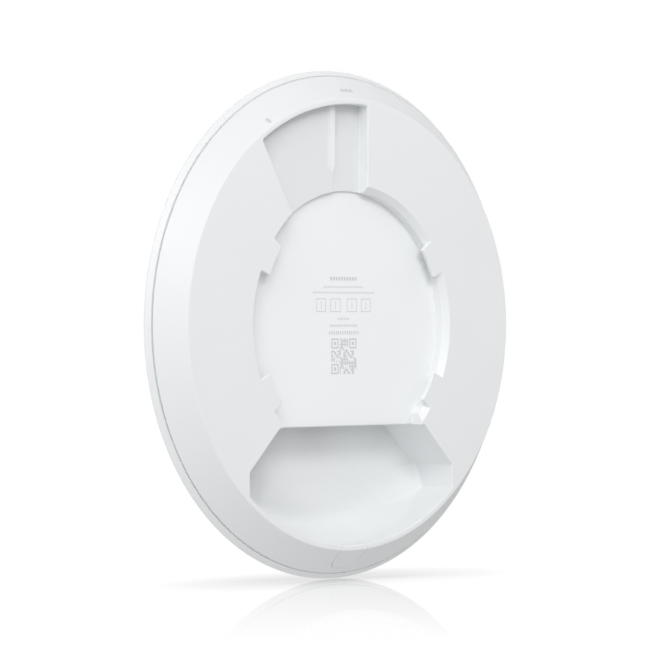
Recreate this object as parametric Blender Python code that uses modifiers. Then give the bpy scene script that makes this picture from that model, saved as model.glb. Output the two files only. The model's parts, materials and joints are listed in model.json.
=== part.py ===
"""A ceiling access point, standing on its edge with its mounting side towards -Y.

Every piece hangs on one empty whose own axes are the plan of the mounting side:
X runs across, Y runs up towards the lock channel, and Z points out of the mounting side.
The origin is the centre of the bracket seat, the flat floor of the round recess.
Places through the thickness are given as depths below the flat back, towards the dome.
"""

import math

import bmesh
import bpy
from mathutils import Matrix

MM = 0.001
GAP = 0.3 * MM
SLIP = 0.05 * MM  # keeps a helper's face out of the plane of the face it meets

# Covers
RIM_RADIUS = 85.75 * MM
RIM_DEPTH = 10.35 * MM
THICKNESS = 33.0 * MM
DOME_POWER = 3
BACK_RADIUS = 75.8 * MM
SEAM_RADIUS = 84.0 * MM
SEAM_DEPTH = 8.63 * MM
WALL = 2.0 * MM
SKIRT_INNER = 78.4 * MM
SKIRT_OUTER = 79.6 * MM
SKIRT_DEPTH = 7.4 * MM
COVER_STEPS = 72
RING_STEPS = 48
DOME_STEPS = 8

# Round recess with the bayonet tabs, where the ceiling bracket twists in
SEAT_DEPTH = 4.9 * MM
SEAT_FLAT_RADIUS = 42.0 * MM
SEAT_DISH = 0.15 * MM
RECESS_RADIUS = 45.0 * MM
RECESS_CHAMFER = 2.0 * MM
RECESS_MOUTH_HALF = 33.2 * MM
TAB_ANGLES = (30, 150, 210, 330)
TAB_WIDTH_ANGLE = 15
TAB_INNER_RADIUS = 42.3 * MM
TAB_THICKNESS = 1.4 * MM

# Lock channel above the recess
CHANNEL_RADIUS = 74.05 * MM
CHANNEL_RIGHT = 6.5 * MM
CHANNEL_TURN = 30
CHANNEL_DEPTH = 3.5 * MM
SLOT_DEPTH = 4.2 * MM
RIB_CREST_DEPTH = 2.57 * MM
RIB_CREST_WIDTH = 1.1 * MM
RIB_RAMP_WIDTH = 1.9 * MM
RIB_START = 53.3 * MM
RIB_TAPER = 2.3 * MM

# Cable pocket below the recess
POCKET_TOP = -33.85 * MM
POCKET_TOP_HALF = 34.4 * MM
POCKET_SIDE = 48.2 * MM
POCKET_SHOULDER = -48.3 * MM
POCKET_DEPTH = 19.8 * MM
POCKET_WALL = 1.8 * MM
POCKET_FLOOR = 1.3 * MM
DOME_CLEARANCE = 0.5 * MM

# Cable exit in the rim below the pocket
EXIT_HALF = 6.25 * MM
EXIT_DEPTH = 6.7 * MM
EXIT_FRAME = 2.2 * MM
EXIT_SKIN = 1.8 * MM

# Light ring in the front
LENS_INNER = 24.9 * MM
LENS_OUTER = 27.0 * MM
FLANGE_WIDTH = 1.4 * MM
FLANGE_THICKNESS = 1.0 * MM
GUIDE_RADIUS = 8.8 * MM
GUIDE_WALL = 1.5 * MM
GUIDE_NECK = 4.6 * MM
GUIDE_LIP = 1.2 * MM
LED_SIZE = (1.6 * MM, 1.2 * MM, 0.7 * MM)
LED_COUNT = 4

# Electronics stack
PLATE_DEPTH = 7.6 * MM
PLATE_THICKNESS = 1.2 * MM
PLATE_RADIUS = 60.0 * MM
PAD_THICKNESS = 1.0 * MM
PAD_MARGIN = 1.0 * MM
CHIP_THICKNESS = 1.2 * MM
CHIP_EDGE = 0.15 * MM
BOARD_DEPTH = 11.9 * MM
BOARD_THICKNESS = 1.6 * MM
BOARD_RADIUS = 62.0 * MM
BOARD_CHORD = -31.5 * MM

# Screws that hold board and plate to the rear cover
SCREW_CIRCLE = 55.0 * MM
SCREW_ANGLES = (37, 143, 200, 340)
SCREW_SHANK = 1.05 * MM
SCREW_HEAD = 2.4 * MM
SCREW_HEAD_HEIGHT = 1.5 * MM
SCREW_TIP_DEPTH = 3.0 * MM
BOSS_RADIUS = 3.4 * MM

# Network jack, let into a notch of the board
JACK_WIDTH = 15.9 * MM
JACK_HEIGHT = 11.7 * MM
JACK_LENGTH = 20.7 * MM
JACK_DEPTH = 7.3 * MM
JACK_MOUTH = -33.5 * MM
JACK_SHEET = 0.4 * MM
JACK_SLACK = 0.25 * MM
PLUG_WIDTH = 11.9 * MM
PLUG_HEIGHT = 6.9 * MM
PLUG_LENGTH = 13.5 * MM
PLUG_ROOF = 0.8 * MM
KEYWAY_WIDTH = 6.3 * MM
KEYWAY_HEIGHT = 2.0 * MM
CONTACT_COUNT = 8
CONTACT_PITCH = 1.02 * MM
CONTACT_WIDTH = 0.4 * MM
CONTACT_LENGTH = 8.5 * MM
CONTACT_BAR = 1.2 * MM

# Reset switch beside the jack
RESET_X = -14.0 * MM
RESET_DEPTH = 15.2 * MM
RESET_BODY_HALF = 2.6 * MM
RESET_BODY_LENGTH = 4.0 * MM
RESET_PLUNGER = 0.8 * MM
RESET_PLUNGER_BACK = 1.8 * MM
RESET_TIP_INSET = 0.6 * MM

# Antennas on the front of the board, inside its rim
ANTENNA_CIRCLE = 54.0 * MM
ANTENNA_WIDTH = 6.0 * MM
ANTENNA_HEIGHT = 4.8 * MM
ANTENNA_SHEET = 0.4 * MM
ANTENNA_LEG = 2.0 * MM

BOARD_FRONT = BOARD_DEPTH + BOARD_THICKNESS
BEVEL_SLOPE = (SEAM_RADIUS - BACK_RADIUS) / SEAM_DEPTH
BEVEL_WALL = WALL * math.hypot(1, BEVEL_SLOPE)
CHAMFER_RADIUS = RECESS_RADIUS + RECESS_CHAMFER


def z_at(depth):
    """Height above the bracket seat of a depth below the flat back."""
    return SEAT_DEPTH - depth


def dome_depth(radius, inset=0.0):
    """Depth of the dome at a radius, flat in the middle and steeper towards the rim."""
    fall = (THICKNESS - RIM_DEPTH) * (radius / RIM_RADIUS) ** DOME_POWER
    return THICKNESS - fall - inset


def dome_arc(start, end, inset=0.0):
    """(radius, depth) points along the dome from one radius to another."""
    radii = [start + (end - start) * i / DOME_STEPS for i in range(DOME_STEPS + 1)]
    return [(radius, dome_depth(radius, inset)) for radius in radii]


def bevel_radius(depth, inset=0.0):
    """Outer radius of the rear cover's bevelled edge at a depth."""
    return BACK_RADIUS - inset + BEVEL_SLOPE * depth


def polar(radius, degrees):
    angle = math.radians(degrees)
    return radius * math.cos(angle), radius * math.sin(angle)


def arc(radius, start, end, count):
    """Points on a circle about the origin, from one angle to another in degrees."""
    return [polar(radius, start + (end - start) * i / count) for i in range(count + 1)]


def angle_at(radius, x, sign=1):
    """Angle in degrees of the point of a circle at x, above or below the centre."""
    return math.degrees(math.atan2(sign * math.sqrt(radius**2 - x**2), x))


# ---- scene, materials and shape helpers ----


def clear_scene():
    for obj in list(bpy.data.objects):
        bpy.data.objects.remove(obj, do_unlink=True)


def new_collection(name):
    collection = bpy.data.collections.new(name)
    bpy.context.scene.collection.children.link(collection)
    return collection


def finish(name, colour, roughness, metallic=0.0):
    material = bpy.data.materials.new(name)
    material.use_nodes = True
    shader = material.node_tree.nodes["Principled BSDF"]
    shader.inputs["Base Color"].default_value = (*colour, 1.0)
    shader.inputs["Roughness"].default_value = roughness
    shader.inputs["Metallic"].default_value = metallic
    return material


clear_scene()
PARTS = new_collection("ceiling_access_point")
HELPERS = new_collection("cutters")
PLAN = bpy.data.objects.new("mounting_side_plan", None)
PLAN.rotation_euler = (math.radians(90), 0, 0)
PARTS.objects.link(PLAN)

WHITE_SHELL = finish("white_shell", (0.86, 0.88, 0.89), 0.45)
CLEAR_LENS = finish("translucent_lens", (0.80, 0.86, 0.92), 0.25)
BOARD_GREEN = finish("board_green", (0.02, 0.14, 0.07), 0.45)
CHIP_BLACK = finish("chip_black", (0.02, 0.02, 0.022), 0.5)
PAD_GREY = finish("thermal_pad", (0.35, 0.42, 0.50), 0.8)
CERAMIC = finish("ceramic", (0.75, 0.73, 0.66), 0.4)
JACK_WHITE = finish("jack_white", (0.8, 0.81, 0.82), 0.45)
ALUMINIUM = finish("aluminium", (0.78, 0.79, 0.80), 0.35, 1.0)
TIN = finish("tinned_steel", (0.72, 0.72, 0.70), 0.3, 1.0)
STEEL = finish("screw_steel", (0.60, 0.60, 0.62), 0.3, 1.0)
GOLD = finish("gold_contact", (0.85, 0.62, 0.25), 0.25, 1.0)
FERRITE = finish("ferrite", (0.05, 0.05, 0.055), 0.6)
LED_BODY = finish("led_body", (0.85, 0.85, 0.75), 0.3)


def add_object(name, mesh, material, location=(0, 0, 0)):
    """A piece of the access point, or a helper when it has no material."""
    obj = bpy.data.objects.new(name, mesh)
    obj.parent = PLAN
    obj.location = location
    if material is None:
        HELPERS.objects.link(obj)
        obj.hide_render = True
        obj.display_type = "WIRE"
    else:
        PARTS.objects.link(obj)
        mesh.materials.append(material)
    return obj


def shade_round(mesh):
    mesh.shade_smooth()
    mesh.set_sharp_from_angle(angle=math.radians(30))


def bevel_edges(obj, width):
    edge = obj.modifiers.new("soft_edges", "BEVEL")
    edge.width = width
    edge.segments = 1
    edge.limit_method = "ANGLE"


def box(name, size, location, material=None, bevel=0.0):
    mesh = bpy.data.meshes.new(name)
    bm = bmesh.new()
    bmesh.ops.create_cube(bm, size=1.0, matrix=Matrix.Diagonal((*size, 1.0)))
    bm.to_mesh(mesh)
    bm.free()
    obj = add_object(name, mesh, material, location)
    if bevel:
        bevel_edges(obj, bevel)
    return obj


def box_between(name, low, high, material=None, bevel=0.0):
    """A box from its low to its high corner, each an (x, y, depth) point."""
    size = [abs(b - a) for a, b in zip(low, high)]
    x, y, depth = [(a + b) / 2 for a, b in zip(low, high)]
    return box(name, size, (x, y, z_at(depth)), material, bevel)


def cylinder(name, radius, length, location, material=None, segments=24):
    mesh = bpy.data.meshes.new(name)
    bm = bmesh.new()
    bmesh.ops.create_cone(
        bm, cap_ends=True, segments=segments, radius1=radius, radius2=radius, depth=length
    )
    bm.to_mesh(mesh)
    bm.free()
    shade_round(mesh)
    return add_object(name, mesh, material, location)


def post(name, radius, place, start_depth, end_depth, material=None, segments=24):
    """A cylinder that stands on the plan, from one depth to another."""
    middle = z_at((start_depth + end_depth) / 2)
    length = end_depth - start_depth
    return cylinder(name, radius, length, (*place, middle), material, segments)


def upright_pin(name, radius, x, depth, start_y, end_y, material=None):
    """A cylinder that lies in the plan along Y, from one y to another."""
    place = (x, (start_y + end_y) / 2, z_at(depth))
    pin = cylinder(name, radius, abs(end_y - start_y), place, material, segments=20)
    pin.rotation_euler = (math.radians(90), 0, 0)
    return pin


def evaluated_mesh(obj):
    graph = bpy.context.evaluated_depsgraph_get()
    return bpy.data.meshes.new_from_object(obj.evaluated_get(graph))


def turned(name, profile, material=None, closed=True, steps=COVER_STEPS):
    """A solid of revolution about Z. An open profile starts and ends on the axis."""
    mesh = bpy.data.meshes.new(name)
    bm = bmesh.new()
    points = [bm.verts.new((radius, 0, z_at(depth))) for radius, depth in profile]
    for start, end in zip(points, points[1:] + points[:1] if closed else points[1:]):
        bm.edges.new((start, end))
    bm.to_mesh(mesh)
    bm.free()
    obj = add_object(name, mesh, material)
    screw = obj.modifiers.new("turn", "SCREW")
    screw.steps = steps
    screw.render_steps = steps
    screw.use_merge_vertices = True
    screw.merge_threshold = 0.01 * MM
    solid = evaluated_mesh(obj)
    obj.modifiers.clear()
    shade_round(solid)
    obj.data = solid
    return obj


def prism(name, outline, start_depth, end_depth):
    """A helper with a flat outline, from one depth to another."""
    curve = bpy.data.curves.new(name, "CURVE")
    curve.dimensions = "2D"
    curve.fill_mode = "BOTH"
    curve.extrude = (end_depth - start_depth) / 2
    spline = curve.splines.new("POLY")
    spline.points.add(len(outline) - 1)
    spline.use_cyclic_u = True
    for point, (x, y) in zip(spline.points, outline):
        point.co = (x, y, 0, 1)
    drawn = bpy.data.objects.new(name + "_outline", curve)
    HELPERS.objects.link(drawn)
    mesh = evaluated_mesh(drawn)
    bpy.data.objects.remove(drawn, do_unlink=True)
    bm = bmesh.new()
    bm.from_mesh(mesh)
    bmesh.ops.remove_doubles(bm, verts=bm.verts, dist=0.001 * MM)
    bmesh.ops.recalc_face_normals(bm, faces=bm.faces)
    bm.to_mesh(mesh)
    bm.free()
    return add_object(name, mesh, None, (0, 0, z_at((start_depth + end_depth) / 2)))


def combine(obj, other, operation):
    modifier = obj.modifiers.new(other.name, "BOOLEAN")
    modifier.operation = operation
    modifier.solver = "EXACT"
    modifier.object = other


def cut(obj, *cutters):
    for cutter in cutters:
        combine(obj, cutter, "DIFFERENCE")


def join(obj, *others):
    for other in others:
        combine(obj, other, "UNION")


# ---- rear cover ----


def rear_shell_profile():
    """Seat, recess wall, flat back and bevelled edge, then the same way back inside."""
    return [
        (0, SEAT_DEPTH),
        (SEAT_FLAT_RADIUS, SEAT_DEPTH),
        (RECESS_RADIUS, SEAT_DEPTH + SEAT_DISH),
        (RECESS_RADIUS, RECESS_CHAMFER),
        (CHAMFER_RADIUS, 0),
        (BACK_RADIUS, 0),
        (SEAM_RADIUS, SEAM_DEPTH),
        (SEAM_RADIUS - BEVEL_WALL, SEAM_DEPTH),
        (bevel_radius(WALL) - BEVEL_WALL, WALL),
        (CHAMFER_RADIUS + WALL, WALL),
        (CHAMFER_RADIUS, 2 * WALL),
        (CHAMFER_RADIUS, SEAT_DEPTH + WALL),
        (0, SEAT_DEPTH + WALL),
    ]


def envelope(name, inset):
    """The solid inside the rear cover's outer surface, drawn in by inset."""
    profile = [
        (0, inset),
        (BACK_RADIUS - inset, inset),
        (bevel_radius(SEAM_DEPTH, inset), SEAM_DEPTH),
        (0, SEAM_DEPTH),
    ]
    return turned(name, profile, closed=False)


def dome_solid(name, inset):
    """Everything behind the dome, drawn in by inset, out past the cable pocket."""
    edge = BACK_RADIUS + WALL
    profile = [(0, -2 * WALL), (edge, -2 * WALL)] + dome_arc(edge, 0, inset)
    return turned(name, profile, closed=False)


def channel_outline(grow, inner_radius):
    """Outline of the lock channel. Its left edge is the right edge turned about the centre."""
    edge = CHANNEL_RIGHT + grow
    outer_radius = CHANNEL_RADIUS + grow
    outer_right = angle_at(outer_radius, edge)
    outer_left = angle_at(outer_radius, -edge) + CHANNEL_TURN
    inner_right = angle_at(inner_radius, edge)
    inner_left = angle_at(inner_radius, -edge) + CHANNEL_TURN
    outside = arc(outer_radius, outer_right, outer_left, 10)
    return outside + arc(inner_radius, inner_left, inner_right, 10)


def pocket_outline(grow):
    """Outline of the cable pocket, an arc below a trapezoid, grown outwards all round."""
    run = POCKET_SIDE - POCKET_TOP_HALF
    drop = POCKET_TOP - POCKET_SHOULDER
    slant = math.hypot(run, drop)
    normal_x = drop / slant
    normal_y = run / slant
    top_x = POCKET_TOP_HALF + grow * (1 - normal_y) / normal_x
    side = POCKET_SIDE + grow
    shoulder = POCKET_TOP + (grow - (run + grow) * normal_x) / normal_y
    radius = CHANNEL_RADIUS + grow
    start = angle_at(radius, -side, -1)
    rim = arc(radius, start, -180 - start, 16)
    right = [(side, shoulder), (top_x, POCKET_TOP + grow)]
    left = [(-top_x, POCKET_TOP + grow), (-side, shoulder)]
    return rim + right + left


def lock_rib():
    """The ramped rib that the bracket's tongue clicks over."""
    face = -CHANNEL_RIGHT - 2 * SLIP
    foot = face - RIB_CREST_WIDTH - RIB_RAMP_WIDTH
    low = (foot, RIB_START - RIB_TAPER, SLOT_DEPTH + GAP)
    high = (face, CHANNEL_RADIUS + WALL / 2, RIB_CREST_DEPTH)
    rib = box_between("lock_rib", low, high)
    for vertex in rib.data.vertices:
        on_crest = vertex.co.z > 0
        if on_crest and vertex.co.x < 0:
            vertex.co.x += RIB_RAMP_WIDTH
        if on_crest and vertex.co.y < 0:
            vertex.co.y += RIB_TAPER
    return rib


def bayonet_tab(angle):
    """One tab, a sector that lies just under the plane of the flat back."""
    half = TAB_WIDTH_ANGLE / 2
    inside = arc(TAB_INNER_RADIUS, angle - half, angle + half, 3)
    outside = arc(CHAMFER_RADIUS + GAP, angle + half, angle - half, 3)
    return prism(f"tab_{angle}", inside + outside, SLIP, TAB_THICKNESS)


def pocket_block():
    end = POCKET_DEPTH + POCKET_FLOOR
    block = prism("pocket_block", pocket_outline(POCKET_WALL), WALL / 2, end)
    combine(block, dome_solid("pocket_skin", WALL + DOME_CLEARANCE), "INTERSECT")
    return block


def pocket_hollow():
    hollow = prism("pocket_hollow", pocket_outline(0), -WALL, POCKET_DEPTH)
    inset = WALL + DOME_CLEARANCE + POCKET_FLOOR
    combine(hollow, dome_solid("pocket_lining", inset), "INTERSECT")
    return hollow


def exit_frame():
    """Solid material round the cable exit, between the pocket wall and the bevelled edge."""
    half = EXIT_HALF + EXIT_FRAME
    low = (-half, -CHANNEL_RADIUS, GAP)
    high = (half, -RIM_RADIUS, SEAM_DEPTH - GAP)
    frame = box_between("exit_frame", low, high)
    combine(frame, envelope("exit_frame_limit", SLIP), "INTERSECT")
    return frame


def screw_bosses():
    end = PLATE_DEPTH - GAP
    return [
        post(f"boss_{angle}", BOSS_RADIUS, polar(SCREW_CIRCLE, angle), WALL / 2, end)
        for angle in SCREW_ANGLES
    ]


def back_hollows():
    """Cutters for all that is open on the mounting side."""
    floor = SEAT_DEPTH - SLIP
    mouth_low = (-RECESS_MOUTH_HALF, POCKET_TOP - WALL, -WALL)
    mouth_high = (RECESS_MOUTH_HALF, POCKET_TOP + WALL, floor)
    slot_low = (-CHANNEL_RIGHT, SEAT_FLAT_RADIUS, -WALL)
    slot_high = (CHANNEL_RIGHT, CHANNEL_RADIUS - 2 * GAP, SLOT_DEPTH)
    channel = channel_outline(0, SEAT_FLAT_RADIUS)
    return [
        box_between("recess_mouth", mouth_low, mouth_high),
        pocket_hollow(),
        prism("channel_hollow", channel, -WALL, CHANNEL_DEPTH),
        box_between("channel_slot", slot_low, slot_high),
    ]


def wall_openings():
    """Cutters through the pocket's walls and into the bosses."""
    half = JACK_WIDTH / 2 + GAP
    port_low = (-half, POCKET_TOP - WALL, JACK_DEPTH - GAP)
    port_high = (half, POCKET_TOP + 2 * WALL, JACK_DEPTH + JACK_HEIGHT + GAP)
    notch_low = (-EXIT_HALF, -RIM_RADIUS - WALL, -WALL)
    notch_high = (EXIT_HALF, -CHANNEL_RADIUS + WALL, EXIT_DEPTH)
    reset_ends = (POCKET_TOP - WALL, POCKET_TOP + 2 * WALL)
    reset_radius = RESET_PLUNGER + GAP + 4 * SLIP
    openings = [
        box_between("port_opening", port_low, port_high),
        box_between("exit_notch", notch_low, notch_high),
        upright_pin("reset_hole", reset_radius, RESET_X, RESET_DEPTH, *reset_ends),
    ]
    for angle in SCREW_ANGLES:
        place = polar(SCREW_CIRCLE, angle)
        ends = (SCREW_TIP_DEPTH - GAP, PLATE_DEPTH + GAP)
        hole = post(f"boss_hole_{angle}", SCREW_SHANK + GAP, place, *ends, segments=16)
        openings.append(hole)
    return openings


def rear_cover():
    """Back shell, recess, channel and pocket in one moulding."""
    cover = turned("rear_cover", rear_shell_profile(), WHITE_SHELL, closed=False)
    channel = channel_outline(POCKET_WALL, RECESS_RADIUS + WALL / 2)
    channel_block = prism("channel_block", channel, WALL / 2, SLOT_DEPTH + WALL)
    join(cover, pocket_block(), channel_block, exit_frame(), *screw_bosses())
    cut(cover, *back_hollows())
    join(cover, lock_rib(), *[bayonet_tab(angle) for angle in TAB_ANGLES])
    cut(cover, *wall_openings())


def cable_exit_cover():
    """The insert that closes the cable exit: a skin that follows the rim and the bevel."""
    half = EXIT_HALF - GAP
    low = (-half, -CHANNEL_RADIUS - GAP, -WALL)
    high = (half, -RIM_RADIUS, EXIT_DEPTH - GAP)
    cover = box_between("cable_exit_cover", low, high, WHITE_SHELL)
    combine(cover, envelope("exit_cover_outside", 0), "INTERSECT")
    cut(cover, envelope("exit_cover_inside", EXIT_SKIN))


# ---- front cover and light ring ----


def front_cover():
    """The dome, with a skirt that locates it inside the rear cover."""
    hole = LENS_OUTER + GAP
    ledge = SEAM_DEPTH + GAP
    profile = dome_arc(hole, SKIRT_INNER, WALL) + [
        (SKIRT_INNER, SKIRT_DEPTH),
        (SKIRT_OUTER, SKIRT_DEPTH),
        (SKIRT_OUTER, ledge),
        (SEAM_RADIUS + GAP, ledge),
    ]
    cover = turned("front_cover", profile + dome_arc(RIM_RADIUS, hole), WHITE_SHELL)
    half = EXIT_HALF + EXIT_FRAME + 2 * GAP
    low = (-half, -SKIRT_INNER + WALL, SKIRT_DEPTH - WALL)
    high = (half, -SEAM_RADIUS, ledge - SLIP)
    cut(cover, box_between("skirt_gap", low, high))


def centre_cap():
    edge = LENS_INNER - GAP
    profile = dome_arc(0, edge, WALL) + dome_arc(edge, 0)
    turned("centre_cap", profile, WHITE_SHELL, closed=False, steps=RING_STEPS)


def flange_foot():
    """Depth where the lens's flange stops, just short of its neighbours' inner faces."""
    return dome_depth(LENS_OUTER + FLANGE_WIDTH, WALL + GAP)


def led_ring_lens():
    """A ring flush with the dome, on a flange that sits under both neighbours."""
    foot = flange_foot()
    profile = [
        (LENS_INNER - FLANGE_WIDTH, foot - FLANGE_THICKNESS),
        (LENS_OUTER + FLANGE_WIDTH, foot - FLANGE_THICKNESS),
        (LENS_OUTER + FLANGE_WIDTH, foot),
        (LENS_OUTER, foot),
        (LENS_OUTER, dome_depth(LENS_OUTER)),
        (LENS_INNER, dome_depth(LENS_INNER)),
        (LENS_INNER, foot),
        (LENS_INNER - FLANGE_WIDTH, foot),
    ]
    turned("led_ring_lens", profile, CLEAR_LENS, steps=RING_STEPS)


def light_guide():
    """A tube over the LEDs that opens into a cone under the lens."""
    start = BOARD_FRONT + GAP + LED_SIZE[2] + GAP
    bend = start + GUIDE_NECK
    outer = LENS_OUTER - 2 * GAP
    rim = flange_foot() - FLANGE_THICKNESS - GAP
    profile = [
        (GUIDE_RADIUS, start),
        (GUIDE_RADIUS + GUIDE_WALL, start),
        (GUIDE_RADIUS + GUIDE_WALL, bend),
        (outer, rim - GUIDE_LIP),
        (outer, rim),
        (outer - GUIDE_WALL, rim),
        (GUIDE_RADIUS, bend + GUIDE_LIP),
    ]
    turned("light_guide", profile, CLEAR_LENS, steps=RING_STEPS)


# ---- board, heat sink and screws ----


def notched_disc(name, radius, chord, start_depth, thickness, material):
    """A round sheet with a straight lower edge, a notch for the jack and four screw holes."""
    end_depth = start_depth + thickness
    disc = post(name, radius, (0, 0), start_depth, end_depth, material, COVER_STEPS)
    over = (start_depth - WALL, end_depth + WALL)
    reach = radius + WALL
    half = JACK_WIDTH / 2 + 2 * GAP
    jack_end = JACK_MOUTH + JACK_LENGTH + 2 * GAP
    cut(
        disc,
        box_between(f"{name}_chord", (-reach, -reach, over[0]), (reach, chord, over[1])),
        box_between(f"{name}_notch", (-half, -reach, over[0]), (half, jack_end, over[1])),
    )
    for angle in SCREW_ANGLES:
        place = polar(SCREW_CIRCLE, angle)
        cut(disc, post(f"{name}_hole_{angle}", SCREW_SHANK + 2 * GAP, place, *over, segments=16))


def heat_sink_plate():
    chord = BOARD_CHORD + PAD_MARGIN
    size = (PLATE_RADIUS, chord, PLATE_DEPTH, PLATE_THICKNESS)
    notched_disc("heat_sink_plate", *size, ALUMINIUM)


def main_board():
    size = (BOARD_RADIUS, BOARD_CHORD, BOARD_DEPTH, BOARD_THICKNESS)
    notched_disc("main_board", *size, BOARD_GREEN)


def board_screw(number, angle):
    """A pan-head screw with its head on the board and its tip in the rear cover's boss."""
    head = BOARD_FRONT + GAP
    top = head + SCREW_HEAD_HEIGHT
    profile = [
        (0, SCREW_TIP_DEPTH),
        (SCREW_SHANK / 2, SCREW_TIP_DEPTH),
        (SCREW_SHANK, SCREW_TIP_DEPTH + SCREW_SHANK / 2),
        (SCREW_SHANK, head),
        (SCREW_HEAD, head),
        (SCREW_HEAD, top - SCREW_HEAD_HEIGHT / 3),
        (SCREW_HEAD - SCREW_HEAD_HEIGHT / 2, top),
        (0, top),
    ]
    screw = turned(f"board_screw_{number}", profile, STEEL, closed=False, steps=16)
    screw.location = (*polar(SCREW_CIRCLE, angle), 0)


# ---- components on the board: sizes and places in millimetres ----


def on_board(name, size_mm, place_mm, material, front=True, bevel=CHIP_EDGE):
    """A component with its feet just off one side of the board."""
    width, length, height = [value * MM for value in size_mm]
    x, y = [value * MM for value in place_mm]
    if front:
        middle = BOARD_FRONT + GAP + height / 2
    else:
        middle = BOARD_DEPTH - GAP - height / 2
    return box(name, (width, length, height), (x, y, z_at(middle)), material, bevel)


def hot_chip(name, side, place):
    """A chip on the board's back, against the heat sink through a thermal pad."""
    size = (side, side, CHIP_THICKNESS / MM)
    chip = on_board(name, size, place, CHIP_BLACK, front=False)
    middle = z_at(PLATE_DEPTH + PLATE_THICKNESS + GAP + PAD_THICKNESS / 2)
    pad_side = side * MM - 2 * PAD_MARGIN
    pad_place = (chip.location.x, chip.location.y, middle)
    pad_size = (pad_side, pad_side, PAD_THICKNESS)
    box(f"thermal_pad_{name}", pad_size, pad_place, PAD_GREY, CHIP_EDGE)


def chips():
    hot_chip("cpu_chip", 15, (0, 12))
    hot_chip("radio_chip_5ghz", 11, (-27, 20))
    hot_chip("radio_chip_24ghz", 10, (-29, -8))
    on_board("memory_chip", (9, 13, 1.1), (17, 14), CHIP_BLACK, front=False)
    on_board("ethernet_chip", (7, 7, 0.9), (17, -8), CHIP_BLACK, front=False)
    on_board("power_controller_chip", (5, 5, 0.9), (36, -14), CHIP_BLACK, front=False)
    on_board("flash_chip", (8, 6, 1.0), (12, 34), CHIP_BLACK)
    on_board("crystal", (3.2, 2.5, 0.8), (-3, 30), TIN)
    on_board("bluetooth_antenna", (5, 2, 1), (0, 57), CERAMIC)


def shield_can(name, size, place):
    """A folded tin lid over a radio's front end, open towards the board."""
    can = on_board(name, size, place, TIN, bevel=GAP)
    inner = [value * MM - 2 * JACK_SHEET for value in size[:2]]
    inside = box(f"{name}_inside", (*inner, size[2] * MM), can.location)
    inside.location.z += JACK_SHEET
    cut(can, inside)


def power_parts():
    """Coils, transformers and capacitors of the power supply and the network port."""
    on_board("power_inductor_1", (7, 7, 4), (32, 2), FERRITE, bevel=3 * GAP)
    on_board("power_inductor_2", (7, 7, 4), (32, 12), FERRITE, bevel=3 * GAP)
    on_board("poe_transformer", (14, 13, 8.6), (25, -20), FERRITE, bevel=2 * GAP)
    on_board("lan_transformer", (12, 10, 5), (-24, -25), CHIP_BLACK, bevel=GAP)
    start = BOARD_FRONT + GAP
    end = start + 8.2 * MM
    for number, y in enumerate((-6, 4), 1):
        place = (43 * MM, y * MM)
        can = post(f"bulk_capacitor_{number}", 4 * MM, place, start, end, ALUMINIUM, 20)
        bevel_edges(can, GAP)


def antenna(name, angle, length_mm):
    """A stamped inverted-F antenna: a plate over the board on a feed leg and a ground leg."""
    length = length_mm * MM
    foot = BOARD_FRONT + GAP
    top = foot + ANTENNA_HEIGHT
    x, y = polar(ANTENNA_CIRCLE, angle)
    place = (x, y, z_at(top - ANTENNA_SHEET / 2))
    plate = box(name, (length, ANTENNA_WIDTH, ANTENNA_SHEET), place, TIN)
    plate.rotation_euler.z = math.radians(angle - 90)
    leg_length = ANTENNA_HEIGHT - ANTENNA_SHEET / 2
    leg_size = (ANTENNA_LEG, ANTENNA_SHEET, leg_length)
    edge = (ANTENNA_WIDTH - ANTENNA_SHEET) / 2 - SLIP
    for leg_name, along in (("feed", SLIP - (length - ANTENNA_LEG) / 2), ("ground", -length / 5)):
        leg = box(f"{name}_{leg_name}", leg_size, (along, edge, leg_length / 2))
        leg.parent = plate
        join(plate, leg)


def status_leds():
    """LEDs under the tube of the light guide."""
    size = [value / MM for value in LED_SIZE]
    for i in range(LED_COUNT):
        angle = 360 * (i + 0.5) / LED_COUNT
        place = [value / MM for value in polar(GUIDE_RADIUS + GUIDE_WALL / 2, angle)]
        led = on_board(f"status_led_{i + 1}", size, place, LED_BODY)
        led.rotation_euler.z = math.radians(angle + 90)


# ---- network jack and reset switch ----


def rj45_shield():
    low = (-JACK_WIDTH / 2, JACK_MOUTH, JACK_DEPTH)
    high = (JACK_WIDTH / 2, JACK_MOUTH + JACK_LENGTH, JACK_DEPTH + JACK_HEIGHT)
    shield = box_between("rj45_shield", low, high, TIN, bevel=GAP)
    inside_low = (low[0] + JACK_SHEET, low[1] - WALL, low[2] + JACK_SHEET)
    inside_high = [value - JACK_SHEET for value in high]
    cut(shield, box_between("rj45_shield_inside", inside_low, inside_high))


def rj45_insert():
    """The plastic housing, with the plug's cavity and its keyway."""
    margin = JACK_SHEET + JACK_SLACK
    half = JACK_WIDTH / 2 - margin
    start = JACK_DEPTH + margin
    back = JACK_MOUTH + JACK_LENGTH - margin
    end = JACK_DEPTH + JACK_HEIGHT - margin
    insert = box_between("rj45_insert", (-half, JACK_MOUTH, start), (half, back, end), JACK_WHITE)
    mouth = JACK_MOUTH - WALL
    plug_half = PLUG_WIDTH / 2
    plug_start = start + PLUG_ROOF
    plug_end = plug_start + PLUG_HEIGHT
    plug_back = JACK_MOUTH + PLUG_LENGTH
    plug_high = (plug_half, plug_back, plug_end)
    key_low = (-KEYWAY_WIDTH / 2, mouth, plug_end - WALL)
    key_high = (KEYWAY_WIDTH / 2, plug_back - WALL, plug_end + KEYWAY_HEIGHT)
    cut(
        insert,
        box_between("plug_hollow", (-plug_half, mouth, plug_start), plug_high),
        box_between("plug_keyway", key_low, key_high),
    )


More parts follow.
